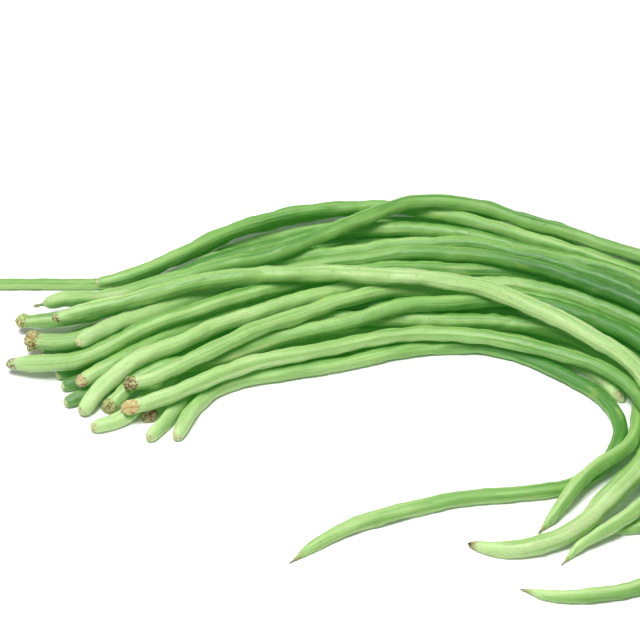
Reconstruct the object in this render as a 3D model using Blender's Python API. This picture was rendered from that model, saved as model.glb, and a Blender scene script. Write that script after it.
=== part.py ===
"""A loose bunch of yardlong beans lying on its side.

Twenty-seven long green pods lie side by side and on top of one another. Their stalk ends are
gathered at the left, the bunch bends back on itself at the right, and the tips fan out in front.
Every pod grew as one piece, stalk stub to tip, so every pod is one closed solid.

Lengths are millimetres until the meshes are made, in metres, +Z up.
"""

import math

import bpy
import numpy as np

MM = 0.001                  # metres in a millimetre

# Driving dimensions of a pod
RING_PITCH = 12.0           # between two cross-sections: one on a seed, the next between seeds
SEED_SWELLING = 0.04        # how far a seed raises the radius, as a share of it
WIDTH_DRIFT = 0.03          # slow change of width along a pod, as a share of it
SIDES = 7                   # sides of a cross-section, one of them facing straight down
WAVER = (0.8, 0.4)          # how far a pod wavers sideways and up and down
WAVER_LENGTH = (40.0, 95.0)  # shortest and longest waver
HEAD_LENGTH = 11.0          # from the broken stalk to the full width
HEAD_RADIUS = 0.62          # radius of the broken stalk, as a share of the pod's radius
HEAD_RINGS = (2.0, 5.5)     # extra cross-sections that round the stalk end
TAIL_LENGTH = 50.0          # over which the pod tapers to its tip
TAIL_RADIUS = 0.26          # radius of the tip, as a share of the pod's radius
TAIL_RINGS = (4.5,)         # extra cross-sections before the tip
END_BULGE = 0.9             # how far the middle of an end stands out
END_ROOM = 0.95             # room kept round a stalk end, as a share of the pod's radius

# Driving dimensions of the pile
GAP = 0.5                   # aimed at between neighbours; at least 0.3 is left
FLAT = 0.25                 # how far a pod's underside is pressed flat where it lies
SHARE_OF_PUSH = 1.3         # more than one settles a crowded pile sooner

# Stages of easing the pile: passes, lowering per pass, pull back to the plan, evening of the
# move along a pod, and how often each pass parts the neighbours.
STAGES = (
    (100, 0.05, 0.03, 0.50, 4),
    (80, 0.02, 0.01, 0.40, 5),
    (90, 0.00, 0.00, 0.15, 6),
)

# The middle line of the whole bunch in plan: up to the crown, round the bend and back.
SPINE = (
    (-160, -62), (-100, -24), (-35, 8), (30, 22), (85, 15), (130, -10),
    (160, -48), (168, -92), (150, -135), (108, -163), (50, -178), (-10, -188),
)

# Every pod: green, width near the stalk and near the tip, and its route from stalk to tip. A route
# point is the distance along the middle line, the distance to its outer side (minus is the inner
# side) and the height of the pod's middle. The routes are where the pods want to lie; the pile
# then eases apart.
PODS = (
    # along the inner edge, in front
    ("fresh", 7.8, 7.6, ((63, -63, 4.3), (73, -56, 4.3), (80, -51, 4.3), (87, -47, 4.3),
                         (94, -45, 4.3), (101, -44, 4.3), (113, -45, 4.3), (152, -53, 4.3),
                         (182, -54, 4.3), (223, -48, 4.3), (253, -44, 4.3), (281, -38, 4.3),
                         (300, -33, 4.3), (322, -30, 4.3), (338, -28, 4.3), (355, -25, 4.3),
                         (373, -20, 4.3), (387, -16.5, 4.3), (403, -14, 4.3), (425, -17, 4.3),
                         (448, -24, 4.3), (480, -34, 4.3), (516, -42, 4.3), (551, -46, 4.3),
                         (590, -41, 4.3), (611, -34, 4), (631, -24, 4))),
    ("fresh", 7.8, 7.4, ((50, -61, 4.5), (60, -57, 5), (69, -53, 5), (77, -46, 4.5),
                         (84, -42, 4.5), (94, -37, 4.3), (101, -35, 4.3), (113, -35, 4.3),
                         (130, -36, 4.3), (152, -35, 4.3), (182, -36, 4.3), (225, -30, 4.3),
                         (281, -18, 4.3), (326, -9, 4.3), (346, -6, 4.5), (366, -3, 4.5),
                         (378, -3, 4.5), (390, -8, 4.5), (402, -12, 5), (418, -16, 7),
                         (440, -24, 9), (466, -28, 8), (490, -23, 6), (508, -14, 4.5))),
    ("pale", 8.2, 7.4, ((56, -50, 5), (64, -48, 4.5), (73, -42, 4.3), (83, -36, 4.3),
                        (94, -32, 5), (105, -30, 8), (118, -29, 11), (135, -29, 12),
                        (182, -29, 12), (205, -33, 12), (223, -35, 12), (249, -33, 12),
                        (274, -26, 13), (298, -20, 13), (321, -13, 14), (340, -10, 14),
                        (361, -5, 14), (374, 0, 13), (400, 6, 11), (430, 10, 10), (465, 5, 8),
                        (492, 1, 6), (505, 6, 4.5))),
    ("fresh", 8.6, 7.4, ((52, -34, 19), (60, -38, 19), (65, -39, 19.5), (74, -39, 19.5),
                         (86, -39, 20), (95, -38, 20), (108, -37, 20), (121, -36, 20),
                         (160, -32, 19), (186, -27, 18.5), (210, -21, 16), (235, -15, 14),
                         (270, -6, 12), (300, 4, 12), (340, 14, 12), (400, 27, 12), (440, 23, 9),
                         (466, 8, 5), (487, -10, 4.5))),
    ("pale", 8.6, 7.6, ((28, -30, 4.5), (35, -27, 6), (42, -25, 9), (48, -26, 13), (54, -26, 16),
                        (60, -26, 18), (66, -26, 19.5), (72, -27, 20.5), (83, -28, 21),
                        (92, -28, 21), (101, -27, 20.5), (114, -25, 20), (126, -24, 20),
                        (164, -21, 20), (194, -14, 16), (223, -5, 13), (260, 2, 12),
                        (300, 13, 12), (340, 22, 12), (370, 30, 11), (410, 41, 9), (445, 46, 5),
                        (483, 37, 4.3), (511, 26, 4.3), (528, 14, 4.3))),
    # stalk ends low at the front left
    ("pale", 8.6, 7.2, ((28, -32, 4.5), (33, -35, 4.5), (39, -38, 4.5), (45, -39, 4.5),
                        (53, -39, 4.5), (60, -37, 4.5), (70, -31, 4.5), (84, -24, 4.5),
                        (105, -19, 4.3), (150, -26, 4.3), (182, -27, 4.3), (225, -21, 4.3),
                        (281, -9, 4.3), (334, 6, 4.3), (400, 18, 4.3), (430, 12, 4.3),
                        (455, 3, 4.3), (472, -2, 4.3))),
    ("fresh", 8.6, 7.4, ((38, -34, 8), (46, -33, 9), (52, -32, 10), (62, -31, 12), (71, -32, 13),
                         (79, -33, 13), (87, -36, 13), (95, -38, 13), (106, -39, 13),
                         (119, -40, 13), (158, -38, 13), (183, -39, 15), (209, -36, 17),
                         (222, -33, 18), (248, -27, 17), (272, -18, 16), (300, -7, 14),
                         (340, 6, 12), (390, 18, 9), (450, 24, 5))),
    ("pale", 8.8, 7.4, ((46, -44, 13), (55, -46, 13), (60, -47, 13), (66, -47, 13), (81, -47, 13),
                        (102, -47, 13), (115, -47, 12.5), (154, -49, 12), (181, -48, 12),
                        (223, -44, 11), (251, -41, 11), (279, -36, 12), (306, -30, 12),
                        (332, -24, 12), (343, -19, 12), (354, -14, 12), (369, -9, 12),
                        (384, -4, 11), (408, -4, 8), (432, -11, 5), (455, -17, 4.3),
                        (480, -14, 4.3))),
    ("deep", 7.6, 7.2, ((25, -17, 4.3), (33, -17, 4.3), (42, -18, 4.3), (60, -17, 4.3),
                        (84, -15, 4.3), (105, -10, 4.3), (150, -18, 4.3), (182, -18, 4.3),
                        (225, -12, 4.3), (281, -1, 4.3), (334, 15, 4.3), (400, 32, 4.3),
                        (440, 38, 4.3))),
    # stalk ends high at the left
    ("fresh", 8.2, 7.2, ((34, -16, 10), (42, -17, 12), (47, -15, 13), (60, -15, 14),
                         (73, -12, 15), (86, -10, 14.5), (110, -9, 12), (150, -11, 12),
                         (200, -2, 11.5), (250, 12, 11), (300, 30, 10), (330, 38, 10),
                         (400, 56, 8), (430, 56, 5))),
    ("fresh", 8.6, 7.2, ((12, 20, 15), (25, 7, 15), (33, 1, 15), (42, -5, 16), (52, -8, 17),
                         (63, -9, 18), (86, -8, 19), (110, -9, 19), (132, -10, 18.5),
                         (156, -9, 17), (200, -7, 15), (235, 0, 11), (270, 11, 10), (300, 21, 10),
                         (340, 32, 10), (400, 58, 6))),
    ("deep", 8.6, 7.2, ((43, -2, 20), (56, -1, 20.5), (80, 1, 20.5), (92, 2, 20), (103, 3, 19),
                        (115, 4, 17), (126, 5, 16), (171, 7, 16), (212, 8, 16), (242, 10, 16),
                        (272, 13, 16), (293, 15, 17), (324, 22, 17), (370, 36, 13),
                        (420, 52, 6))),
    ("fresh", 8.6, 7.2, ((27, 26, 17), (36, 17, 19), (45, 10, 21), (55, 7, 21), (71, 8, 21),
                         (95, 13, 19), (119, 19, 20), (151, 18, 21), (172, 17, 21.5),
                         (193, 14, 21.5), (222, 16, 21), (242, 17, 20), (260, 20, 19),
                         (280, 20, 18), (318, 29, 16), (350, 38, 14), (400, 54, 10))),
    ("fresh", 8.4, 7.0, ((31, 43, 15), (36, 39, 16), (41, 35, 16), (49, 30, 17), (59, 27, 16),
                         (80, 25, 14), (110, 26, 16), (135, 29, 18), (156, 31, 18), (177, 35, 16),
                         (200, 37, 15), (231, 36, 16), (258, 32, 16), (276, 31, 15),
                         (300, 38, 12), (350, 52, 9), (390, 66, 6))),
    ("fresh", 8.6, 7.2, ((43, 48, 17), (50, 43, 18), (58, 37, 19), (65, 29, 20), (73, 23, 22.5),
                         (89, 20, 23), (110, 18, 22), (141, 16, 22), (163, 16, 22), (184, 22, 23),
                         (205, 32, 23), (222, 43, 22), (239, 50, 20), (255, 52, 17),
                         (271, 52, 13), (302, 58, 9), (350, 72, 6), (400, 84, 4.3))),
    # on top: the thick pale pod that crosses the whole bunch
    ("pale", 8.2, 10.2, ((42, 23, 29), (50, 20, 29), (55, 18, 29), (74, 11, 27), (94, 5, 26),
                         (116, 3, 26), (137, -3, 26), (167, -11, 26), (188, -16, 26),
                         (222, -19, 26), (258, -19, 26), (296, -19, 25), (334, -14, 24),
                         (362, -7, 21), (390, 0, 18), (420, 1, 15), (455, -8, 12), (490, -5, 8),
                         (520, -7, 5), (544, -19, 5))),
    # along the outer edge, at the back
    ("fresh", 8.0, 7.0, ((126, 34, 4.3), (150, 37, 4.5), (200, 41, 4.5), (240, 42, 4.5),
                         (280, 48, 4.3), (310, 55, 4.3))),
    ("fresh", 7.6, 7.0, ((73, 38, 16), (82, 35, 17), (95, 34, 18), (117, 37, 19), (138, 43, 20),
                         (159, 48, 20), (179, 53, 20), (197, 52, 19), (231, 51, 18),
                         (260, 44, 17), (282, 43, 14), (307, 48, 10), (340, 60, 7),
                         (400, 80, 4.3))),
    ("fresh", 7.6, 7.0, ((80, 37, 7), (90, 38, 7.5), (100, 39, 8), (111, 41, 8), (133, 47, 8),
                         (153, 53, 8), (181, 56, 9), (207, 56, 9), (238, 55, 8), (262, 56, 7),
                         (293, 57, 6), (340, 70, 4.3), (400, 87, 4.3))),
    ("fresh", 6.2, 6.0, ((2, 99, 3.3), (34, 80, 3.3), (63, 61, 3.3), (89, 44, 3.3),
                         (110, 36, 3.3), (133, 41, 3.3), (153, 45, 3.3), (200, 49, 3.3),
                         (240, 50, 3.3), (280, 54, 3.3), (305, 60, 3.3))),
    # inside the bunch and along its underside
    ("deep", 7.4, 7.0, ((31, 3, 4.3), (40, 1, 4.3), (62, 1, 4.3), (84, 3, 4.3), (105, 7, 4.3),
                        (150, 0, 4.3), (182, 0, 4.3), (225, 6, 4.3), (281, 16, 4.3),
                        (334, 34, 4.3), (390, 56, 4.3), (430, 62, 4.3))),
    ("deep", 8.0, 7.2, ((75, -20, 12), (105, -18, 12), (150, -20, 12), (182, -21, 12),
                        (223, -25, 11), (250, -20, 11), (274, -16, 11), (300, -11, 11),
                        (340, -1, 11), (380, 10, 10), (430, 16, 7))),
    ("deep", 7.4, 7.0, ((32, 14, 4.3), (48, 10, 4.3), (84, 12, 4.3), (105, 15, 4.3),
                        (150, 9, 4.3), (182, 9, 4.3), (225, 15, 4.3), (281, 25, 4.3),
                        (334, 44, 4.3), (390, 68, 4.3), (410, 74, 4.3))),
    ("deep", 7.4, 7.0, ((29, -7, 4.3), (36, -9, 4.3), (45, -9, 4.3), (60, -8, 4.3), (84, -6, 4.3),
                        (105, -2, 4.3), (150, -9, 4.3), (182, -9, 4.3), (225, -3, 4.3),
                        (281, 8, 4.3), (334, 25, 4.3), (400, 44, 4.3), (440, 50, 4.3))),
    ("deep", 7.4, 7.0, ((34, 24, 5), (45, 22, 5), (60, 20, 5), (84, 20, 4.5), (105, 23, 4.3),
                        (150, 18, 4.3), (182, 19, 4.3), (225, 25, 4.3), (281, 34, 4.3),
                        (334, 52, 4.3), (370, 66, 4.3))),
    ("deep", 8.0, 7.2, ((118, 28, 4.3), (150, 28, 4.3), (182, 30, 4.3), (225, 35, 4.3),
                        (281, 43, 4.3), (320, 52, 4.3))),
    # one pod lies the other way round, its stalk end at the bend
    ("pale", 8.0, 8.0, ((375, -9, 5), (366, -10, 5), (356, -11, 4.5), (346, -13, 4.5),
                        (335, -15, 4.5), (326, -17, 4.5), (315, -21, 4.5), (281, -28, 4.3),
                        (225, -39, 4.3), (182, -45, 4.3), (152, -44, 4.3), (125, -42, 4))),
)

# Greens of the pods: base colour and roughness
GREENS = {
    "pale": ((0.42, 0.66, 0.24), 0.42),
    "fresh": ((0.27, 0.56, 0.13), 0.42),
    "deep": ((0.14, 0.42, 0.08), 0.45),
}


# ---------------------------------------------------------------- curves

def smooth_curve(points, steps):
    """Points along a smooth (Catmull-Rom) curve through the given points."""
    points = np.asarray(points, float)
    first = 2 * points[0] - points[1]
    last = 2 * points[-1] - points[-2]
    points = np.vstack([first, points, last])
    t = np.linspace(0, 1, steps, endpoint=False)[:, None]
    pieces = []
    for a, b, c, d in zip(points, points[1:], points[2:], points[3:]):
        linear = (c - a) * t
        square = (2 * a - 5 * b + 4 * c - d) * t ** 2
        cube = (3 * b - a - 3 * c + d) * t ** 3
        pieces.append(0.5 * (2 * b + linear + square + cube))
    pieces.append(points[-2][None])
    return np.vstack(pieces)


def distance_along(points):
    """Distance of each point from the first, along the points."""
    steps = np.linalg.norm(np.diff(points, axis=0), axis=1)
    return np.concatenate([[0.0], np.cumsum(steps)])


def even_points(points, pitch):
    """The same line, with points evenly spaced about one pitch apart."""
    along = distance_along(points)
    count = int(round(along[-1] / pitch)) + 1
    wanted = np.linspace(0, along[-1], count)
    return np.stack([np.interp(wanted, along, axis) for axis in points.T], axis=1)


SPINE_LINE = smooth_curve(SPINE, 60)
SPINE_ALONG = distance_along(SPINE_LINE)


def spine_point(distance):
    """The middle line's point at a distance from its start."""
    return np.array([np.interp(distance, SPINE_ALONG, axis) for axis in SPINE_LINE.T])


def beside_spine(distance, sideways):
    """The point at a distance along the middle line and to its outer side."""
    reach = 2.0
    middle = np.clip(distance, reach, SPINE_ALONG[-1] - reach)
    along = spine_point(middle + reach) - spine_point(middle - reach)
    along /= np.linalg.norm(along)
    outward = np.array([-along[1], along[0]])
    return spine_point(distance) + sideways * outward


def directions(line):
    """Unit vectors along a line, level across it and square to both, at each of its points."""
    along = np.gradient(line, axis=0)
    along /= np.linalg.norm(along, axis=1)[:, None]
    across = np.cross((0, 0, 1), along)
    across /= np.linalg.norm(across, axis=1)[:, None]
    return along, across, np.cross(along, across)


def waver(along, height, rng):
    """A gentle irregular wave: two sines of different length."""
    wave = np.zeros_like(along)
    for _ in range(2):
        length = rng.uniform(*WAVER_LENGTH)
        wave += 0.5 * height * np.sin(2 * math.pi * along / length + rng.uniform(0, 2 * math.pi))
    return wave


def planned_route(route, rng):
    """A pod's centre line as planned, one point for each cross-section."""
    dense = smooth_curve(route, 20)
    line = np.array([[*beside_spine(along, sideways), height] for along, sideways, height in dense])
    line = even_points(line, 3.0)
    for _ in range(12):
        line[1:-1] = 0.5 * line[1:-1] + 0.25 * (line[:-2] + line[2:])
    _, across, up = directions(line)
    along = distance_along(line)
    line += waver(along, WAVER[0], rng)[:, None] * across
    line += waver(along, WAVER[1], rng)[:, None] * up
    return even_points(line, RING_PITCH)


# ---------------------------------------------------------------- width of a pod

def radius_along(along, length, width, drift):
    """Radius at distances along a pod: stalk end, seeds, slow drift and tapered tip."""
    head = np.clip(along / HEAD_LENGTH, 0, 1)
    head = HEAD_RADIUS + (1 - HEAD_RADIUS) * np.sqrt(1 - (1 - head) ** 2)
    tail = np.clip((length - along) / TAIL_LENGTH, 0, 1)
    tail = TAIL_RADIUS + (1 - TAIL_RADIUS) * np.sin(tail * math.pi / 2) ** 0.8
    seeds = 1 + SEED_SWELLING * np.cos(math.pi * along / RING_PITCH)
    slow = 1 + WIDTH_DRIFT * np.sin(along / drift[0] + drift[1])
    trend = width[0] + (width[1] - width[0]) * along / length
    return 0.5 * trend * head * tail * seeds * slow


# ---------------------------------------------------------------- the pile

class Pile:
    """All centre lines in one array, with the short runs that join their points."""

    def __init__(self, lines, radii):
        ends = np.cumsum([0] + [len(line) for line in lines])
        self.spans = list(zip(ends[:-1], ends[1:]))
        self.plan = np.vstack(lines)
        self.points = self.plan.copy()
        self.radii = np.concatenate(radii)
        self.heads = ends[:-1]
        self.tails = ends[1:] - 1
        self.inner = np.concatenate([np.arange(a + 1, b - 1) for a, b in self.spans])
        self.start = np.concatenate([np.arange(a, b - 1) for a, b in self.spans])
        self.end = self.start + 1
        self.pod = np.concatenate([np.full(b - a - 1, k) for k, (a, b) in enumerate(self.spans)])
        self.run_length = np.linalg.norm(self.plan[self.end] - self.plan[self.start], axis=1)
        self.floor = self.radii * math.cos(math.pi / SIDES) - FLAT

    def near_pairs(self):
        """Pairs of runs of different pods that are close enough to touch."""
        middle = (self.points[self.start] + self.points[self.end]) / 2
        apart = np.linalg.norm(middle[:, None] - middle[None], axis=2)
        reach = self.run_length / 2 + self.radii[self.start] + 2.0
        near = apart < reach[:, None] + reach[None]
        other = self.pod[:, None] != self.pod[None]
        return np.nonzero(np.triu(near & other, 1))

    def closest(self, one, two):
        """Where two runs come closest, as shares of each run."""
        a = self.points[self.end[one]] - self.points[self.start[one]]
        b = self.points[self.end[two]] - self.points[self.start[two]]
        between = self.points[self.start[one]] - self.points[self.start[two]]
        aa = (a * a).sum(1)
        bb = (b * b).sum(1)
        ab = (a * b).sum(1)
        a_between = (a * between).sum(1)
        b_between = (b * between).sum(1)
        area = np.maximum(aa * bb - ab * ab, 1e-9)
        share_one = np.clip((ab * b_between - a_between * bb) / area, 0, 1)
        share_two = np.clip((ab * share_one + b_between) / bb, 0, 1)
        share_one = np.clip((ab * share_two - a_between) / aa, 0, 1)
        return share_one, share_two

    def part_neighbours(self, one, two):
        """Push runs that are closer than the gap away from each other, half each."""
        share_one, share_two = self.closest(one, two)
        corners = (self.start[one], self.end[one], self.start[two], self.end[two])
        weights = (1 - share_one, share_one, 1 - share_two, share_two)
        signs = (1, 1, -1, -1)
        offset = sum(s * w[:, None] * self.points[c] for s, w, c in zip(signs, weights, corners))
        reach = sum(w * self.radii[c] for w, c in zip(weights, corners))
        apart = np.maximum(np.linalg.norm(offset, axis=1), 1e-6)
        short = np.maximum(reach + GAP - apart, 0)
        touching = short > 0
        push = (0.5 * short / apart)[:, None] * offset
        move = np.zeros_like(self.points)
        load = np.zeros(len(self.points))
        for sign, weight, corner in zip(signs, weights, corners):
            weighed = (sign * weight)[:, None] * push
            np.add.at(move, corner[touching], weighed[touching])
            np.add.at(load, corner[touching], weight[touching])
        self.points += SHARE_OF_PUSH * move / np.maximum(load, 0.5)[:, None]

    def keep_lengths(self):
        """Bring every run part of the way back to its own length."""
        run = self.points[self.end] - self.points[self.start]
        length = np.linalg.norm(run, axis=1)
        correction = run * (0.25 * (length - self.run_length) / length)[:, None]
        np.add.at(self.points, self.start, correction)
        np.add.at(self.points, self.end, -correction)

    def stay_on_floor(self):
        """Lift what is too low until only its flat underside touches."""
        self.points[:, 2] = np.maximum(self.points[:, 2], self.floor)

    def even_out(self, pull, share):
        """Even the move from the plan along each pod, so that no pod kinks."""
        move = self.points - self.plan
        move[:, :2] *= 1 - pull
        evened = move.copy()
        beside = (move[self.inner - 1] + move[self.inner + 1]) / 2
        evened[self.inner] += share * (beside - move[self.inner])
        for ends, step in ((self.heads, 1), (self.tails, -1)):
            straight = 2 * move[ends + step] - move[ends + 2 * step]
            evened[ends] += share * (straight - move[ends])
        self.points = self.plan + evened

    def ease(self):
        """Lower the pods onto one another and part them, stage by stage."""
        look_again = 8
        for passes, lowering, pull, share, partings in STAGES:
            for count in range(passes):
                self.points[:, 2] -= lowering
                self.even_out(pull, share)
                if count % look_again == 0:
                    one, two = self.near_pairs()
                for _ in range(partings):
                    self.part_neighbours(one, two)
                    self.keep_lengths()
                    self.stay_on_floor()

    def lines(self):
        return [self.points[a:b] for a, b in self.spans]


# ---------------------------------------------------------------- meshes

def rounded_ends(line, radii, length, width, drift):
    """Add the extra cross-sections near both ends, on the line's own first and last runs."""
    along = np.linspace(0, length, len(line))
    extra = [*HEAD_RINGS, *(length - back for back in TAIL_RINGS)]
    wanted = np.sort(np.concatenate([along, extra]))
    line = np.stack([np.interp(wanted, along, axis) for axis in line.T], axis=1)
    is_extra = ~np.isin(wanted, along)
    radii = np.interp(wanted, along, radii)
    radii[is_extra] = radius_along(wanted[is_extra], length, width, drift)
    return line, radii


def cross_sections(line, radii):
    """Corners of every cross-section, a flat side downwards, none below the floor."""
    along, side, up = directions(line)
    turn = 2 * math.pi * (np.arange(SIDES) + 0.5) / SIDES - math.pi / 2
    across = np.cos(turn)[None, :, None] * side[:, None, :]
    upward = np.sin(turn)[None, :, None] * up[:, None, :]
    corners = line[:, None, :] + radii[:, None, None] * (across + upward)
    corners[:, :, 2] = np.maximum(corners[:, :, 2], 0)
    first_end = line[0] - END_BULGE * along[0]
    last_end = line[-1] + END_BULGE * along[-1]
    return corners, first_end, last_end


def pod_faces(count):
    """Faces of a closed pod with the given number of cross-sections."""
    ring = np.arange(SIDES)
    following = (ring + 1) % SIDES
    first_end = count * SIDES
    last_end = first_end + 1
    last_ring = (count - 1) * SIDES
    faces = [(first_end, int(b), int(a)) for a, b in zip(ring, following)]
    for base in range(0, last_ring, SIDES):
        for a, b in zip(ring, following):
            faces.append((int(base + a), int(base + b), int(base + b + SIDES), int(base + a + SIDES)))
    faces += [(last_end, int(last_ring + a), int(last_ring + b)) for a, b in zip(ring, following)]
    return faces


def make_material(name, colour, roughness):
    """A plain Principled material."""
    material = bpy.data.materials.new(name)
    material.use_nodes = True
    shader = material.node_tree.nodes["Principled BSDF"]
    shader.inputs["Base Color"].default_value = (*colour, 1.0)
    shader.inputs["Roughness"].default_value = roughness
    shader.inputs["Metallic"].default_value = 0.0
    material.diffuse_color = (*colour, 1.0)
    return material


def make_pod(name, points, count, material):
    """One pod as a mesh object, in metres."""
    mesh = bpy.data.meshes.new(name)
    mesh.from_pydata((points * MM).tolist(), [], pod_faces(count))
    mesh.shade_smooth()
    mesh.materials.append(material)
    bpy.context.scene.collection.objects.link(bpy.data.objects.new(name, mesh))


# ---------------------------------------------------------------- the bunch

def clear_scene():
    """Remove the objects that are there at the start."""
    for thing in list(bpy.data.objects):
        bpy.data.objects.remove(thing, do_unlink=True)


def lay_out_pods():
    """Centre line, radii and size of every pod in the eased pile."""
    rng = np.random.default_rng(7)
    lines = [planned_route(route, rng) for *_, route in PODS]
    sizes = []
    for line, (_, stalk_width, tip_width, _) in zip(lines, PODS):
        drift = (rng.uniform(14, 30), rng.uniform(0, 2 * math.pi))
        sizes.append((distance_along(line)[-1], (stalk_width, tip_width), drift))
    radii = []
    room = []
    for line, size in zip(lines, sizes):
        radii.append(radius_along(np.linspace(0, size[0], len(line)), *size))
        room.append(radii[-1].copy())
        room[-1][0] = END_ROOM * size[1][0] / 2
    pile = Pile(lines, room)
    pile.ease()
    return pile.lines(), radii, sizes


def bunch_points():
    """Corner points of every pod, with the bunch centred over the origin."""
    pods = []
    for line, radii, size in zip(*lay_out_pods()):
        line, radii = rounded_ends(line, radii, *size)
        corners, first_end, last_end = cross_sections(line, radii)
        points = np.vstack([corners.reshape(-1, 3), first_end, last_end])
        pods.append((points, len(line)))
    everything = np.vstack([points for points, _ in pods])
    centre = (everything.min(axis=0) + everything.max(axis=0)) / 2
    centre[2] = 0
    return [(points - centre, count) for points, count in pods]


def main():
    clear_scene()
    materials = {}
    for name, (colour, roughness) in GREENS.items():
        materials[name] = make_material(f"pod_{name}", colour, roughness)
    for number, (points, count) in enumerate(bunch_points(), start=1):
        green = PODS[number - 1][0]
        make_pod(f"pod_{number:02d}", points, count, materials[green])


main()
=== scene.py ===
"""Looks of a loose bunch of yardlong beans: skin, seeds, broken stalks and dried tips."""

import math

import bpy
import numpy as np
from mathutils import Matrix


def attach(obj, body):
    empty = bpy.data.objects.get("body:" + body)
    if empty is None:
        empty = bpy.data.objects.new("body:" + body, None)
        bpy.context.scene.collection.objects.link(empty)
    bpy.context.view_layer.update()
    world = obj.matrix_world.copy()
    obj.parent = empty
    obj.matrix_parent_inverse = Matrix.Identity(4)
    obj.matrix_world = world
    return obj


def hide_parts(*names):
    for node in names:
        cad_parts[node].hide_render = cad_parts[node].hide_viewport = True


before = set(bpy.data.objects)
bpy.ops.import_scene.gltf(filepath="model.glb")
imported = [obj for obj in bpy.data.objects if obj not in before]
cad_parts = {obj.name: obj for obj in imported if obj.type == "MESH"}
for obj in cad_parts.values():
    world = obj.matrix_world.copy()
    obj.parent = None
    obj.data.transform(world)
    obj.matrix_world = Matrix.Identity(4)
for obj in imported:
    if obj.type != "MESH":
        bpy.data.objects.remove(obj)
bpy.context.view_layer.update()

MM = 0.001


# ---------------------------------------------------------------- the table, the light, the camera
# The bunch lies on a plain white table. The light is broad and soft: a bright white room and one
# large soft lamp high above, so that shadows stay faint and the gaps between pods go deep green.

TABLE_SIZE = 6.0
TABLE_WHITE = (0.93, 0.93, 0.93, 1.0)
TABLE_ROUGHNESS = 0.9
ROOM_WHITE = (1.0, 1.0, 1.0, 1.0)
ROOM_STRENGTH = 0.28
LAMP_POWER = 30.5
LAMP_SIZE = 0.7
LAMP_PLACE = (-0.22, -0.22, 1.35)
LAMP_AIM = (0.03, 0.02, 0.0)

VIEW_HEIGHT = math.radians(45)      # the camera looks down at this angle
VIEW_DISTANCE = 1.30
VIEW_LENS = 138.9
SENSOR_WIDTH = 36.0
VIEW_AIM = (-0.0222, 0.0535, 0.0)   # it looks at the part of the bunch nearer the stalk ends


def aimed(thing, place, aim):
    """Put a lamp or camera at a place, looking at a point."""
    place = np.array(place)
    ahead = np.array(aim) - place
    thing.location = place
    thing.rotation_euler = (
        math.atan2(math.hypot(ahead[0], ahead[1]), -ahead[2]),
        0.0,
        math.atan2(-ahead[0], ahead[1]),
    )
    bpy.context.scene.collection.objects.link(thing)


room = bpy.data.worlds.new("white_room")
room.use_nodes = True
room.node_tree.nodes["Background"].inputs["Color"].default_value = ROOM_WHITE
room.node_tree.nodes["Background"].inputs["Strength"].default_value = ROOM_STRENGTH
bpy.context.scene.world = room
bpy.context.scene.view_settings.view_transform = "Standard"

lamp = bpy.data.lights.new("soft_lamp", "AREA")
lamp.shape = "DISK"
lamp.size = LAMP_SIZE
lamp.energy = LAMP_POWER
aimed(bpy.data.objects.new("soft_lamp", lamp), LAMP_PLACE, LAMP_AIM)

lens = bpy.data.cameras.new("camera")
lens.lens = VIEW_LENS
lens.sensor_width = SENSOR_WIDTH
camera = bpy.data.objects.new("camera", lens)
camera_place = (
    VIEW_AIM[0],
    VIEW_AIM[1] - VIEW_DISTANCE * math.cos(VIEW_HEIGHT),
    VIEW_DISTANCE * math.sin(VIEW_HEIGHT),
)
aimed(camera, camera_place, VIEW_AIM)
bpy.context.scene.camera = camera

table_mesh = bpy.data.meshes.new("table_top")
half = TABLE_SIZE / 2
table_mesh.from_pydata(
    [(-half, -half, 0), (half, -half, 0), (half, half, 0), (-half, half, 0)], [], [(0, 1, 2, 3)]
)
table_paint = bpy.data.materials.new("table_white")
table_paint.use_nodes = True
table_paint.node_tree.nodes["Principled BSDF"].inputs["Base Color"].default_value = TABLE_WHITE
table_paint.node_tree.nodes["Principled BSDF"].inputs["Roughness"].default_value = TABLE_ROUGHNESS
table_mesh.materials.append(table_paint)
table_top = bpy.data.objects.new("table_top", table_mesh)
bpy.context.scene.collection.objects.link(table_top)


# ---------------------------------------------------------------- how a pod is grown
# A pod is one long tube of green flesh round a row of seeds. Two seams run its whole length,
# the seeds swell it a little every few centimetres, and the skin between them is drawn in.

WELD = 2e-3 * MM                # corner points closer than this are one
TABLE_ROOM = 0.02 * MM          # lowest height of the skin over the table
RING_STEP = 1.5 * MM            # between two cross-sections along the pod
END_STEP = 0.5 * MM             # the same near the two ends
END_REACH = 13.0 * MM           # how far from an end the cross-sections stay close
SEED_PITCH = 24.0 * MM
SEED_SHIFT = 2.5 * MM           # how far a seed may lie from its even place
SEED_LENGTH = 6.5 * MM          # half the length of a seed's swelling
SEED_MARGIN = 0.9               # room for the first seed at an end, as a share of the pitch
SEED_RISE = (0.06, 0.30)        # lowest and highest swelling, millimetres
SEED_SIDES = (0.6, 0.4, 0.35)   # a swelling all round, more on both flat sides, more on its belly
SEED_PINCH = 0.12               # how far the skin is drawn in between seeds, millimetres
PINCH_LENGTH = 0.5              # as a share of a seed's
PINCH_SIDES = (0.7, 0.3)        # a pinch all round, and more on both flat sides
SEAM_RISE = 0.16                # a seam's ridge, millimetres
SEAM_WIDTH = math.radians(7)
GROOVE_DEPTH = 0.5              # of the groove on each side of a seam, as a share of the ridge
GROOVE_ANGLE = 0.32             # from the seam to the groove, radians
GROOVE_WIDTH = 0.14             # radians
OVAL = 0.025                    # a pod is this much wider across its seams
FLESH = 0.965                   # a round pod's radius, as a share of its faceted solid's corners
DENT = 0.18                     # soft dents of the skin, millimetres
DENT_WAVES = 12                 # waves that the dents are added up from
DENT_LENGTHS = (7, 32)          # shortest and longest of them, millimetres
DENT_TURNS = 4                  # most times, less one, that a wave goes round the pod
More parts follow.
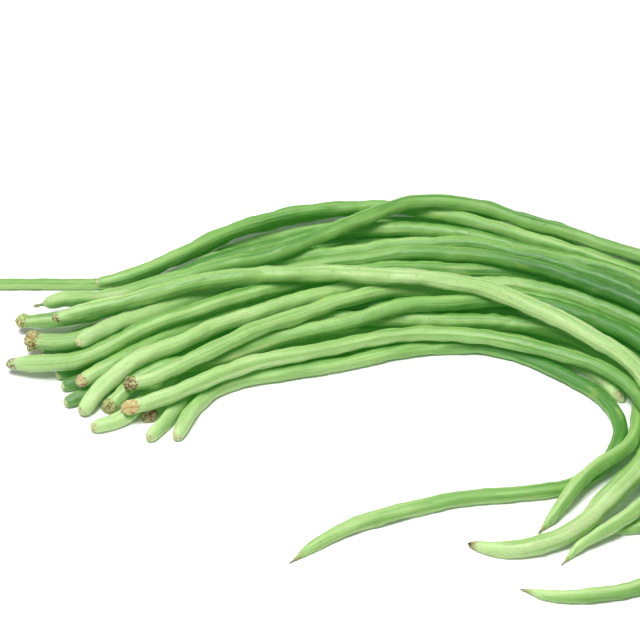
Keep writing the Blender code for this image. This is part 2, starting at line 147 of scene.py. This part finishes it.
TAPER = 60.0 * MM               # how far from the tip the faceted solid grows thinner
FULL_TIP_REACH = 24.0 * MM      # the same for a tip that stays full
FULL_TIP_END = 0.35             # radius of a full tip at its end, as a share of the body's
THIN_SKIN = 0.35                # least share of the relief that a thin end keeps
TWIST = math.radians(75)        # how far the seams wind round the pod in its length

# Angles round a pod, measured from a seam: close together at both seams.
HALF_ROUND = (0, 4.5, 10, 18, 30, 43, 57, 71, 84, 97, 110, 123, 137, 150, 162, 170, 175.5)
ANGLES = np.radians(HALF_ROUND + (180,) + tuple(360 - angle for angle in HALF_ROUND[:0:-1]))


def welded(node):
    """A CAD node's corner points without doubles, and which of them are joined."""
    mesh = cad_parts[node].data
    points = np.array([v.co for v in mesh.vertices], float)
    _, first, same = np.unique(
        np.round(points / WELD), axis=0, return_index=True, return_inverse=True)
    same = same.reshape(-1)
    joined = [set() for _ in first]
    for edge in mesh.edges:
        a, b = (int(same[v]) for v in edge.vertices)
        if a != b:
            joined[a].add(b)
            joined[b].add(a)
    return points[first], joined


def spread_from(start, joined):
    """The points in steps of one edge from a first point."""
    levels = [[start]]
    seen = {start}
    while levels[-1]:
        following = {b for a in levels[-1] for b in joined[a]} - seen
        seen |= following
        levels.append(sorted(following))
    return levels[:-1]


def read_pod(node):
    """Centre line and radii of a CAD pod, from its stalk to its tip."""
    points, joined = welded(node)
    far = spread_from(0, joined)[-1][0]
    levels = spread_from(far, joined)
    centres = np.array([points[level].mean(axis=0) for level in levels])
    radii = np.array([np.linalg.norm(points[level] - centre, axis=1).mean()
                      for level, centre in zip(levels, centres)])
    if radii[1] < radii[-2]:
        centres = centres[::-1]
        radii = radii[::-1]
    return centres[1:-1], FLESH * radii[1:-1]


def along_line(points):
    """Distance of each point from the first, along the points."""
    steps = np.linalg.norm(np.diff(points, axis=0), axis=1)
    return np.concatenate([[0.0], np.cumsum(steps)])


def smooth_through(points, knots, wanted):
    """Values of a smooth curve through points that lie at knots."""
    slope = np.gradient(points, knots, axis=0)
    spot = np.clip(np.searchsorted(knots, wanted, side="right") - 1, 0, len(knots) - 2)
    gap = knots[spot + 1] - knots[spot]
    t = (wanted - knots[spot]) / gap
    a = 2 * t ** 3 - 3 * t ** 2 + 1
    b = t ** 3 - 2 * t ** 2 + t
    c = 3 * t ** 2 - 2 * t ** 3
    d = t ** 3 - t ** 2
    return (a[:, None] * points[spot] + (b * gap)[:, None] * slope[spot]
            + c[:, None] * points[spot + 1] + (d * gap)[:, None] * slope[spot + 1])


def section_places(length):
    """Where a pod's cross-sections lie: close near the ends, wider along the body."""
    ends = np.arange(0, END_REACH, END_STEP)
    body = np.linspace(END_REACH, length - END_REACH, int((length - 2 * END_REACH) / RING_STEP))
    return np.concatenate([ends, body, length - ends[::-1]])


def plain_radius(centres, radii, places):
    """A pod's radius without its seeds, which are made afresh."""
    knots = along_line(centres)
    even = radii.copy()
    even[2:-2] = (radii[1:-3] + 2 * radii[2:-2] + radii[3:-1]) / 4
    return smooth_through(even[:, None], knots, places)[:, 0]


def swellings(places, length, rng):
    """Seeds, pinches, seams and soft dents as heights in millimetres, ring by ring."""
    height = np.zeros((len(places), len(ANGLES)))
    margin = SEED_PITCH * SEED_MARGIN
    seed_places = np.arange(margin, length - margin, SEED_PITCH)
    all_round, flat_sides, one_side = SEED_SIDES
    pinch_round, pinch_flat_sides = PINCH_SIDES
    sideways = np.cos(2 * ANGLES + math.pi)
    for place in seed_places:
        place += rng.uniform(-1, 1) * SEED_SHIFT
        rise = rng.uniform(*SEED_RISE)
        belly = rng.uniform(0, 2 * math.pi)
        bump = np.exp(-((places - place) / SEED_LENGTH) ** 2)
        side = all_round + flat_sides * sideways + one_side * np.cos(ANGLES - belly)
        height += rise * bump[:, None] * side[None]
        pinch = np.exp(-((places - place - SEED_PITCH / 2) / (PINCH_LENGTH * SEED_LENGTH)) ** 2)
        height -= SEED_PINCH * pinch[:, None] * (pinch_round + pinch_flat_sides * sideways)[None]
    for seam in (0, math.pi):
        off = (ANGLES - seam + math.pi) % (2 * math.pi) - math.pi
        groove = np.exp(-((np.abs(off) - GROOVE_ANGLE) / GROOVE_WIDTH) ** 2)
        ridge = np.exp(-(off / SEAM_WIDTH) ** 2) - GROOVE_DEPTH * groove
        height += SEAM_RISE * ridge[None]
    for _ in range(DENT_WAVES):
        wave = 2 * math.pi * places / (rng.uniform(*DENT_LENGTHS) * MM)
        turns = rng.integers(0, DENT_TURNS)
        height += DENT / 3 * np.sin(wave[:, None] + turns * ANGLES[None] + rng.uniform(0, 2 * math.pi))
    return height


# Shapes of the broken stalk, and after them of the tip: distances from the end (mm) with the
# radius there as a share of the pod's, then how rough the end is (mm).
STALKS = {
    "blunt": (((0, 0.55), (0.8, 0.74), (2.2, 0.87), (5, 0.95), (9, 0.99), (13, 1.0)), 0.14),
    "torn": (((0, 0.80), (1.0, 0.94), (3, 0.92), (6, 0.94), (10, 0.98), (13, 1.0)), 0.48),
    "knob": (((0, 0.52), (1.4, 0.92), (3.8, 1.02), (6.5, 0.84), (9, 0.90), (13, 1.0)), 0.75),
    "crown": (((0, 0.70), (1.2, 1.16), (3.8, 1.28), (6.5, 1.04), (9, 0.94), (13, 1.0)), 1.10),
    "stub": (((0, 0.40), (1.2, 0.60), (4, 0.70), (7, 0.82), (10, 0.95), (13, 1.0)), 0.40),
    "thread": (((0, 0.20), (1.2, 0.32), (2.6, 0.18), (4.6, 0.26), (7, 0.78), (10, 0.95), (13, 1.0)),
               0.30),
}
TIPS = {
    "beak": (((0, 0.12), (0.6, 0.2), (2.2, 0.24), (4.0, 0.42), (9, 0.78), (13, 0.88)), 0.10),
    "blunt": (((0, 0.40), (0.8, 0.62), (2.0, 0.78), (4.5, 0.93), (9, 1.0), (13, 1.0)), 0.18),
}
FRONT_UP = np.array((0.0, -0.71, 0.71))     # the way that a slanted face leans
SLANT_START = 0.4                   # where a slanted face starts, as a share of the radius
SLANT_FADE = 1.5                    # how soon the slant fades along the pod
ROUGH_REACH = 0.62                  # how far an end is rough, as a share of its reach
LUMP_TURNS = (2, 3, 5, 7, 9)        # times that each wave of lumps goes round an end
LUMP_LENGTHS = (2.5, 7)             # shortest and longest lump along the pod, millimetres
LUMP_SIZE = 0.42                    # share of each wave
FACE_RINGS = (0.78, 0.5, 0.22)      # rings that close an end, as shares of its radius
FACE_CALM = 0.4                     # how much smoother the face's rim is than its middle
STALK_FACE = (0.8 * MM, 0.8)        # how far the stalk's face stands out, and its share of roughness
TIP_FACE = (0.6 * MM, 0.5)          # the same at the tip


def end_shape(distance, shape):
    """Share of the full radius at distances from an end, in metres."""
    reach, share = np.array(shape).T
    return np.interp(distance / MM, reach, share)


def pod_surface(node, look, rng):
    """Points, rings and growth values of a pod's fine skin."""
    centres, radii = read_pod(node)
    knots = along_line(centres)
    length = knots[-1]
    places = section_places(length)
    line = smooth_through(centres, knots, places)
    radius = plain_radius(centres, radii, places)
    full = np.interp(END_REACH, places, radius)
    body = np.interp(length - TAPER, places, radius)
    fullness = np.sqrt(np.clip((length - places) / FULL_TIP_REACH, 0, 1))
    filled = body * (FULL_TIP_END + (1 - FULL_TIP_END) * fullness)
    radius += look["full_tip"] * np.maximum(filled - radius, 0) * (places > length - TAPER)
    stalk_profile, stalk_rough = STALKS[look["stalk"]]
    tip_profile, tip_rough = TIPS[look["tip"]]
    near_stalk = places < END_REACH
    near_tip = places > length - END_REACH
    radius[near_stalk] = full * end_shape(places[near_stalk], stalk_profile)
    tip_full = np.interp(length - END_REACH, places, radius)
    tip_share = end_shape(length - places[near_tip], tip_profile)
    radius[near_tip] = np.minimum(radius[near_tip], tip_full) * tip_share / tip_profile[-1][1]
    turn = look["turn"] + TWIST * places / length * rng.uniform(-1, 1)
    height = swellings(places, length, rng) * look["bumps"]
    both_ends = ((near_stalk, places, stalk_rough), (near_tip, length - places, tip_rough))
    for near, distance, rough in both_ends:
        fade = np.clip(1 - distance[near] / (ROUGH_REACH * END_REACH), 0, 1)
        lumps = rough_lumps(distance[near], rng)
        height[near] = height[near] * (1 - fade)[:, None] + rough * fade[:, None] * lumps
    along, across, up = directions(line)
    oval = 1 + OVAL * np.cos(2 * ANGLES)
    relief = height * MM * np.clip(radius / full, THIN_SKIN, 1)[:, None]
    reach = radius[:, None] * oval[None] + relief
    angle = turn[:, None] + ANGLES[None]
    skin = line[:, None] + reach[..., None] * (
        np.cos(angle)[..., None] * across[:, None] + np.sin(angle)[..., None] * up[:, None])
    lean = math.tan(math.radians(look["slant"])) * np.clip(1 - places / END_REACH, 0, 1) ** SLANT_FADE
    cut_back = lean[:, None] * ((skin - line[:, None]) @ FRONT_UP + SLANT_START * radius[:, None])
    skin += cut_back[..., None] * along[:, None]
    return skin, places, length, radius, line, along


def directions(line):
    """Unit vectors along a line, level across it and square to both."""
    along = np.gradient(line, axis=0)
    along /= np.linalg.norm(along, axis=1)[:, None]
    across = np.cross((0, 0, 1), along)
    across /= np.linalg.norm(across, axis=1)[:, None]
    return along, across, np.cross(along, across)


def rough_lumps(distance, rng):
    """Uneven lumps round an end, between about -1 and 1."""
    lumps = np.zeros((len(distance), len(ANGLES)))
    for turns in LUMP_TURNS:
        wave = 2 * math.pi * distance / (rng.uniform(*LUMP_LENGTHS) * MM) + rng.uniform(0, 2 * math.pi)
        lumps += LUMP_SIZE * np.sin(turns * ANGLES[None] + wave[:, None] + rng.uniform(0, 2 * math.pi))
    return lumps


def close_end(ring, centre, outward, dish, rough, rng):
    """Rings that close an end with an uneven face, from its rim to its middle."""
    rings = []
    for share in FACE_RINGS:
        lumps = rough * rng.uniform(-1, 1, len(ring)) * (1 - share * FACE_CALM)
        lift = dish * (1 - share ** 2) + lumps
        rings.append(centre + share * (ring - centre) + lift[:, None] * outward)
    middle = centre + dish * outward
    return rings, middle


def grown_mesh(name, node, look, rng):
    """One pod as a closed mesh, with the values that its skin is coloured by."""
    skin, places, length, radius, line, along = pod_surface(node, look, rng)
    stalk_rough = STALKS[look["stalk"]][1] * MM
    tip_rough = TIPS[look["tip"]][1] * MM
    stalk_dish, stalk_share = STALK_FACE
    tip_dish, tip_share = TIP_FACE
    stalk_rings, stalk_middle = close_end(
        skin[0], skin[0].mean(axis=0), -along[0], stalk_dish, stalk_share * stalk_rough, rng)
    tip_rings, tip_middle = close_end(
        skin[-1], line[-1], along[-1], tip_dish, tip_share * tip_rough, rng)
    rings = [*reversed(stalk_rings), *skin, *tip_rings]
    count = len(ANGLES)
    points = np.vstack([*rings, stalk_middle, tip_middle])
    points[:, 2] = np.maximum(points[:, 2], TABLE_ROOM)
    number = np.arange(count)
    after = np.roll(number, -1)
    faces = []
    for base in range(0, (len(rings) - 1) * count, count):
        faces += [(int(base + a), int(base + b), int(base + b + count), int(base + a + count))
                  for a, b in zip(number, after)]
    first = len(rings) * count
    last_base = (len(rings) - 1) * count
    faces += [(first, int(b), int(a)) for a, b in zip(number, after)]
    faces += [(first + 1, int(last_base + a), int(last_base + b)) for a, b in zip(number, after)]
    mesh = bpy.data.meshes.new(name)
    mesh.from_pydata(points.tolist(), [], faces)
    mesh.shade_smooth()

    inward = (1 - np.array(FACE_RINGS)) * MM
    distance = np.concatenate([-inward[::-1], places, length + inward])
    distance = np.append(np.repeat(distance, count), (-MM, length + MM))
    turned = np.append(np.tile(ANGLES, len(rings)), (0, 0))
    shares = np.array(FACE_RINGS)
    thick = np.concatenate([radius[0] * shares[::-1], radius, radius[-1] * shares])
    thick = np.append(np.repeat(thick, count), (0, 0))
    give_values(mesh, distance, turned, thick, length, look)
    return mesh


GRAIN_SHIFT = 0.9       # metres of grain between one pod and the next, so that no two look alike
SEAM_SHARPNESS = 0.004  # how narrow the dark line on a seam is


def give_values(mesh, distance, turned, thick, length, look):
    """Where each point lies on its own pod, its greens with painted shade, and how pale, torn, dry or near
    a seam it is.
    """
    place = np.stack([distance + look["number"] * GRAIN_SHIFT,
                      thick * np.cos(turned),
                      thick * np.sin(turned)], axis=1)
    stalk = distance / MM
    tip = (length - distance) / MM
    seam = np.exp(-((1 - np.abs(np.cos(turned))) / SEAM_SHARPNESS) ** 2)
    values = {
        "pale_end": np.exp(-np.maximum(stalk, 0) / look["pale_reach"]) * look["pale_end"],
        "torn": np.clip(1 - stalk / look["torn_reach"], 0, 1),
        "dry_tip": np.clip(1 - tip / look["dry_reach"], 0, 1),
        "seam": seam,
        "tone": np.interp(distance / length, np.linspace(0, 1, len(look["tones"])), look["tones"]),
    }
    attribute = mesh.attributes.new("pod_place", "FLOAT_VECTOR", "POINT")
    attribute.data.foreach_set("vector", place.astype(np.float32).ravel())
    for name, value in values.items():
        attribute = mesh.attributes.new(name, "FLOAT", "POINT")
        attribute.data.foreach_set("value", value.astype(np.float32))
    attribute = mesh.attributes.new("scar", "FLOAT_VECTOR", "POINT")
    scar = np.tile(SCARS[look["scar"]], len(distance))
    attribute.data.foreach_set("vector", scar.astype(np.float32))


# The skin of every green: a node group that puts out its colour, gloss, a painted green light and relief.

def sockets(group, kind, names):
    """Named inputs or outputs of a node group, with their usual values."""
    for name, socket_type, value in names:
        socket = group.interface.new_socket(name, in_out=kind, socket_type=socket_type)
        if value is not None:
            socket.default_value = value


def set_input(tree, made, number, value):
    """Link a socket to an input of a node, or set the input's own value."""
    if isinstance(value, bpy.types.NodeSocket):
        tree.links.new(value, made.inputs[number])
    else:
        made.inputs[number].default_value = value


def maths(tree, operation, first, second=None, clamp=False):
    """One sum of two values."""
    made = tree.nodes.new("ShaderNodeMath")
    made.operation = operation
    made.use_clamp = clamp
    set_input(tree, made, 0, first)
    if second is not None:
        set_input(tree, made, 1, second)
    return made.outputs[0]


def ranged(tree, value, low, high, out_low=0.0, out_high=1.0):
    """A value spread from one range to another, with soft ends."""
    made = tree.nodes.new("ShaderNodeMapRange")
    made.interpolation_type = "SMOOTHSTEP"
    for spot, number in enumerate((value, low, high, out_low, out_high)):
        set_input(tree, made, spot, number)
    return made.outputs[0]


def blended(tree, share, first, second, how="MIX"):
    """Two colours blended by a share."""
    made = tree.nodes.new("ShaderNodeMix")
    made.data_type = "RGBA"
    made.blend_type = how
    set_input(tree, made, 0, share)
    set_input(tree, made, 6, first)
    set_input(tree, made, 7, second)
    return made.outputs[2]


def grain(tree, place, stretch, detail=3.0, rough=0.55):
    """Noise over the pod, stretched: how many grains per metre along it and across it."""
    scaled = tree.nodes.new("ShaderNodeVectorMath")
    scaled.operation = "MULTIPLY"
    set_input(tree, scaled, 0, place)
    scaled.inputs[1].default_value = stretch
    noise = tree.nodes.new("ShaderNodeTexNoise")
    tree.links.new(scaled.outputs[0], noise.inputs["Vector"])
    noise.inputs["Scale"].default_value = 1.0
    noise.inputs["Detail"].default_value = detail
    noise.inputs["Roughness"].default_value = rough
    return noise.outputs[0]


# Painted green light: a faint green emission from all skin that is not torn or dry, so that the shaded
# gaps between pods look green.
PAINTED_GREEN_LIGHT = (0.007, 0.068, 0.005, 1)
YELLOW_BLOTCH = (0.36, 0.38, 0.09, 1)
PINK_BLUSH = (0.43, 0.37, 0.23, 1)
PALE_STALK = (0.44, 0.54, 0.28, 1)
FLESH_SHADE = (0.36, 0.36, 0.15, 1)
FLESH_LIGHT = (0.52, 0.50, 0.28, 1)
SCAR_SHADE = (0.20, 0.18, 0.16, 1)  # a scar's own colour is darkened by this in its cracks
DRY_BROWN = (0.27, 0.21, 0.075, 1)
DRY_BLACK = (0.035, 0.027, 0.014, 1)
NO_LIGHT = (0, 0, 0, 1)


def pod_skin_group():
    """The skin from a pod's place, greens with painted shade, stalk, scar, tip and seam to its colours,
    painted green light and relief.
    """
    group = bpy.data.node_groups.new("pod_skin", "ShaderNodeTree")
    sockets(group, "INPUT", (
        ("Place", "NodeSocketVector", None),
        ("Tone and shade", "NodeSocketFloat", 0.0),
        ("Pale end", "NodeSocketFloat", 0.0),
        ("Torn", "NodeSocketFloat", 0.0),
        ("Dry tip", "NodeSocketFloat", 0.0),
        ("Seam", "NodeSocketFloat", 0.0),
        ("Scar", "NodeSocketVector", None),
        ("Deep green", "NodeSocketColor", (0.1, 0.3, 0.05, 1)),
        ("Fresh green", "NodeSocketColor", (0.2, 0.5, 0.1, 1)),
        ("Pale green", "NodeSocketColor", (0.4, 0.7, 0.25, 1)),
    ))
    sockets(group, "OUTPUT", (
        ("Color", "NodeSocketColor", None),
        ("Roughness", "NodeSocketFloat", None),
        ("Painted green light", "NodeSocketColor", None),
        ("Height", "NodeSocketFloat", None),
    ))
    inside = group.nodes.new("NodeGroupInput").outputs
    place = inside["Place"]
    streaks = grain(group, place, (7, 430, 430), 3.0)
    hairs = grain(group, place, (24, 1500, 1500), 3.0, 0.6)
    broad = grain(group, place, (6, 170, 170), 2.0)
    patches = grain(group, place, (30, 70, 70), 2.0)
    blotches = grain(group, place, (46, 130, 130), 3.0, 0.65)
    blushes = grain(group, place, (17, 210, 210), 3.0, 0.6)
    fine = grain(group, place, (420, 1500, 1500), 3.0, 0.6)
    crust = grain(group, place, (700, 700, 700), 4.0, 0.7)

    # Lightness of the green: the pod's own greens with painted shade, and streaks and patches.
    light = maths(group, "ADD", inside["Tone and shade"], ranged(group, broad, 0.3, 0.7, -0.42, 0.42))
    light = maths(group, "ADD", light, ranged(group, patches, 0.3, 0.7, -0.24, 0.24))
    light = maths(group, "ADD", light, ranged(group, streaks, 0.3, 0.7, -0.55, 0.55))
    light = maths(group, "ADD", light, ranged(group, hairs, 0.3, 0.7, -0.16, 0.16))
    green = blended(group, ranged(group, light, -1.0, 0.0), inside["Deep green"], inside["Fresh green"])
    green = blended(group, ranged(group, light, 0.0, 1.0), green, inside["Pale green"])
    green = blended(group, ranged(group, blotches, 0.62, 0.76, 0.0, 0.5), green, YELLOW_BLOTCH)
    green = blended(group, ranged(group, blushes, 0.62, 0.76, 0.0, 0.42), green, PINK_BLUSH)
    dark_line = maths(group, "MULTIPLY", inside["Seam"], 0.35)
    green = blended(group, dark_line, green, inside["Deep green"])
    pale = maths(group, "MULTIPLY", inside["Pale end"], ranged(group, streaks, 0.25, 0.65, 0.6, 1.0))
    green = blended(group, pale, green, PALE_STALK)

    flesh = blended(group, ranged(group, fine, 0.35, 0.65), FLESH_SHADE, FLESH_LIGHT)
    dark_scar = blended(group, 1.0, inside["Scar"], SCAR_SHADE, "MULTIPLY")
    brown = blended(group, ranged(group, crust, 0.41, 0.53), flesh, inside["Scar"])
    brown = blended(group, ranged(group, crust, 0.54, 0.64, 0.0, 0.8), brown, dark_scar)
    ragged = maths(group, "ADD", inside["Torn"], ranged(group, crust, 0.3, 0.7, -0.32, 0.32))
    torn = ranged(group, ragged, 0.18, 0.50)
    colour = blended(group, torn, green, brown)
    uneven = maths(group, "ADD", inside["Dry tip"], ranged(group, fine, 0.3, 0.7, -0.12, 0.12))
    dry = ranged(group, uneven, 0.05, 0.75)
    colour = blended(group, dry, colour, DRY_BROWN)
    dark_dry = ranged(group, inside["Dry tip"], 0.62, 0.95)
    colour = blended(group, dark_dry, colour, DRY_BLACK)

    sound = maths(group, "SUBTRACT", 1.0, maths(group, "MAXIMUM", torn, dry), clamp=True)
    painted_green_light = blended(group, sound, NO_LIGHT, PAINTED_GREEN_LIGHT)
    rough = ranged(group, broad, 0.3, 0.7, 0.46, 0.60)
    rough = maths(group, "ADD", rough, maths(group, "MULTIPLY", torn, 0.4), clamp=True)
    fine_relief = maths(group, "MULTIPLY", fine, 0.35)
    relief = maths(group, "ADD", fine_relief, maths(group, "MULTIPLY", streaks, 0.65))
    crust_relief = maths(group, "MULTIPLY", maths(group, "MULTIPLY", crust, torn), 2.5)
    relief = maths(group, "ADD", relief, crust_relief)
    outside = group.nodes.new("NodeGroupOutput").inputs
    group.links.new(colour, outside["Color"])
    group.links.new(rough, outside["Roughness"])
    group.links.new(painted_green_light, outside["Painted green light"])
    group.links.new(relief, outside["Height"])
    return group


POD_SKIN = pod_skin_group()
RELIEF_STRENGTH = 0.35
RELIEF_DEPTH = 0.35 * MM
FLESH_WEIGHT = 0.8                  # share of the light that goes into the flesh
FLESH_RADIUS = (0.25, 1.0, 0.12)    # green goes deepest
FLESH_DEPTH = 4.0 * MM
WAX_INDEX = 1.46


def pod_material(name, deep, fresh, pale):
    """The waxy skin of a pod in one range of greens."""
    material = bpy.data.materials.new(name)
    material.use_nodes = True
    tree = material.node_tree
    shader = tree.nodes["Principled BSDF"]
    skin = tree.nodes.new("ShaderNodeGroup")
    skin.node_tree = POD_SKIN
    skin.inputs["Deep green"].default_value = deep
    skin.inputs["Fresh green"].default_value = fresh
    skin.inputs["Pale green"].default_value = pale
    for attribute, socket, output in (
        ("pod_place", "Place", "Vector"), ("tone", "Tone and shade", "Fac"), ("pale_end", "Pale end", "Fac"),
        ("torn", "Torn", "Fac"), ("dry_tip", "Dry tip", "Fac"), ("seam", "Seam", "Fac"),
        ("scar", "Scar", "Vector"),
    ):
        reader = tree.nodes.new("ShaderNodeAttribute")
        reader.attribute_name = attribute
        tree.links.new(reader.outputs[output], skin.inputs[socket])
    bump = tree.nodes.new("ShaderNodeBump")
    bump.inputs["Strength"].default_value = RELIEF_STRENGTH
    bump.inputs["Distance"].default_value = RELIEF_DEPTH
    tree.links.new(skin.outputs["Height"], bump.inputs["Height"])
    tree.links.new(bump.outputs["Normal"], shader.inputs["Normal"])
    tree.links.new(skin.outputs["Color"], shader.inputs["Base Color"])
    tree.links.new(skin.outputs["Roughness"], shader.inputs["Roughness"])
    # The painted green light goes into the emission.
    tree.links.new(skin.outputs["Painted green light"], shader.inputs["Emission Color"])
    shader.inputs["Emission Strength"].default_value = 1.0
    shader.inputs["Subsurface Weight"].default_value = FLESH_WEIGHT
    shader.inputs["Subsurface Radius"].default_value = FLESH_RADIUS
    shader.inputs["Subsurface Scale"].default_value = FLESH_DEPTH
    shader.inputs["IOR"].default_value = WAX_INDEX
    return material


# The deep range is a darker copy of the skin, used mostly for pods lying in shade: painted shade.
SKINS = {
    "pod_pale": pod_material("pod_pale_skin", (0.115, 0.240, 0.050, 1), (0.245, 0.375, 0.122, 1),
                             (0.390, 0.490, 0.235, 1)),
    "pod_fresh": pod_material("pod_fresh_skin", (0.052, 0.155, 0.022, 1), (0.168, 0.302, 0.076, 1),
                              (0.300, 0.420, 0.160, 1)),
    "pod_deep": pod_material("pod_deep_skin", (0.028, 0.105, 0.014, 1), (0.098, 0.215, 0.044, 1),
                             (0.215, 0.340, 0.108, 1)),
}

# The colour of the scar where a pod was torn off: bare flesh, a drying wound or an old crust.
SCARS = {
    "bare": (0.42, 0.46, 0.24),
    "orange": (0.46, 0.32, 0.14),
    "pink": (0.40, 0.27, 0.15),
    "brown": (0.30, 0.205, 0.08),
    "olive": (0.27, 0.26, 0.09),
    "purple": (0.26, 0.18, 0.09),
    "dark": (0.16, 0.12, 0.05),
    "grey": (0.17, 0.185, 0.12),
}

# How a pod looks where nothing else is said.
USUAL_LOOK = {
    "stalk": "blunt",       # shape of the broken stalk
    "tip": "beak",          # shape of the tip
    # The greens along a pod are partly its own and partly painted shade, darker where it lies under other
    # pods or at the bend.
    "tones": (0, 0),        # evenly from stalk to tip: -1 is the deepest green, 1 the palest
    "full_tip": 0.3,        # how far the tip stays full instead of tapering, 0 to 1
    "bumps": 1.0,           # how strongly the seeds show
    "pale_end": 0.85,       # how pale the flesh is at the stalk
    "pale_reach": 14.0,     # how far that reaches, millimetres
    "scar": "bare",         # colour of the broken stalk
    "torn_reach": 0.6,      # how far that colour reaches, millimetres
    "slant": 0.0,           # how far the broken face leans up and forward, degrees
    "dry_reach": 7.0,       # how far the dried tip reaches, millimetres
}


def grow_pod(number, slot, **look):
    """Make one pod in place of its CAD node."""
    cad_node = f"pod_{number:02d}"
    rng = np.random.default_rng(100 + number)
    look = {**USUAL_LOOK, "number": number, "turn": rng.uniform(0, 2 * math.pi), **look}
    name = f"bean_{number:02d}"
    mesh = grown_mesh(name, cad_node, look, rng)
    mesh.materials.append(SKINS[slot])
    pod = bpy.data.objects.new(name, mesh)
    bpy.context.scene.collection.objects.link(pod)
    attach(pod, "root")
    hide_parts(cad_node)


# ---------------------------------------------------------------- the pods along the front edge
# The first lies on the table from end to end, and the second beside it. The third and fourth are
# torn off and keep a dark scar, and the fifth bends down to a smooth pale end.

# The deepest greens along these pods are painted shade where they pass under other pods at the bend.
grow_pod(1, "pod_fresh", tones=(0.6, 0.3, -1.3, 0.2, 1.0), slant=15, pale_reach=20, dry_reach=10)
grow_pod(2, "pod_fresh", tones=(0.6, 0.0, -0.7, 0.2, 1.4), slant=25, pale_reach=26, full_tip=0.9)
grow_pod(3, "pod_pale", tones=(0.0, -0.1, -0.7, -0.7, 0.7), stalk="torn", scar="purple", torn_reach=4.5,
         slant=40)
grow_pod(4, "pod_fresh", tones=(0.7, 0.5, -0.1, -1.0, 0.8), stalk="torn", scar="dark", torn_reach=5.0,
         slant=35, pale_reach=26)
grow_pod(5, "pod_pale", tones=(0.8, 0.4, -0.3, -1.2, 0.4), slant=20, pale_end=1.0, pale_reach=45,
         dry_reach=8, full_tip=0.6)


# ---------------------------------------------------------------- the low stalk ends at the left
# One is a smooth pale end on the table. Two are torn off above it, with an olive and an orange
# scar, and one lies beside them in the shade.

grow_pod(6, "pod_pale", tones=(0.4, 0.0, -0.4, -0.3, 0.5), slant=25, pale_reach=30)
grow_pod(7, "pod_fresh", tones=(0.2, 0.2, -0.4, -1.3, -0.9), stalk="torn", scar="olive", torn_reach=4.5,
         slant=35)
grow_pod(8, "pod_pale", tones=(0.3, 0.2, 0.0, -1.0, 0.2), stalk="torn", scar="orange", torn_reach=1.8,
         slant=50, pale_reach=18)
# Its deep green and dim end are painted shade.
grow_pod(9, "pod_deep", tones=(-0.4, -0.4), pale_end=0.25)


# ---------------------------------------------------------------- the high stalk ends at the left
# The ends that stand out furthest to the left. Some keep what is left of the stalk: a grey
# withered stub, two knobs and a thread. Others are broken clean.

# The deepest greens towards the tips of the first four are painted shade in the gap under the pods on top.
grow_pod(10, "pod_fresh", tones=(0.3, -0.1, -0.5, -1.1, -1.1), scar="pink", torn_reach=5.0, pale_reach=18)
grow_pod(11, "pod_fresh", tones=(0.2, -0.1, -0.5, -1.1, -1.2), stalk="stub", scar="grey", torn_reach=7.0,
         pale_end=0.95, pale_reach=26)
grow_pod(12, "pod_deep", tones=(0.9, 0.5, 0.0, -0.9, -1.0), slant=20, pale_end=0.8, pale_reach=34)
grow_pod(13, "pod_fresh", tones=(0.1, -0.1, 0.0, -0.8, -1.0), stalk="crown", scar="brown", torn_reach=10.0,
         pale_reach=22)
grow_pod(14, "pod_fresh", tones=(0.1, -0.4, 0.1, -0.2, -0.7), stalk="knob", scar="olive", torn_reach=7.0)
grow_pod(15, "pod_fresh", tones=(0.3, 0.1, 0.3, 0.1, -0.5), stalk="thread", scar="grey", torn_reach=6.5,
         pale_reach=20)


# ---------------------------------------------------------------- the pods on top
# One thick pale pod crosses the whole bunch and ends in the fan. A short stretch of another lies
# low under the crown, at the outer side.

grow_pod(16, "pod_pale", tones=(0.0, 0.1, 0.3, 0.5, 0.7), stalk="stub", scar="dark", torn_reach=3.5,
         tip="blunt", full_tip=0.7, dry_reach=6)
grow_pod(17, "pod_fresh")


# ---------------------------------------------------------------- the pods along the outer edge
# They lie at the back. The slim one sticks out past the stalk ends.

grow_pod(18, "pod_fresh", tones=(0.0, -0.2, 0.2, 0.2, 0.0), pale_end=0.3, torn_reach=0.2)
grow_pod(19, "pod_fresh", tones=(-0.3, -0.3))
grow_pod(20, "pod_fresh", tones=(0.3, 0.0), bumps=0.6)


# ---------------------------------------------------------------- the pods inside the bunch
# They fill it from below, and little of them shows. The last one lies the other way round, and
# its pale cut end shows at the bend.

# Their deep greens and dim ends are painted shade.
for hidden in range(21, 27):
    grow_pod(hidden, "pod_deep", tones=(-0.3, -0.5), pale_end=0.15)
grow_pod(27, "pod_pale", tones=(0.7, -0.3), slant=55, pale_end=1.0, pale_reach=20)
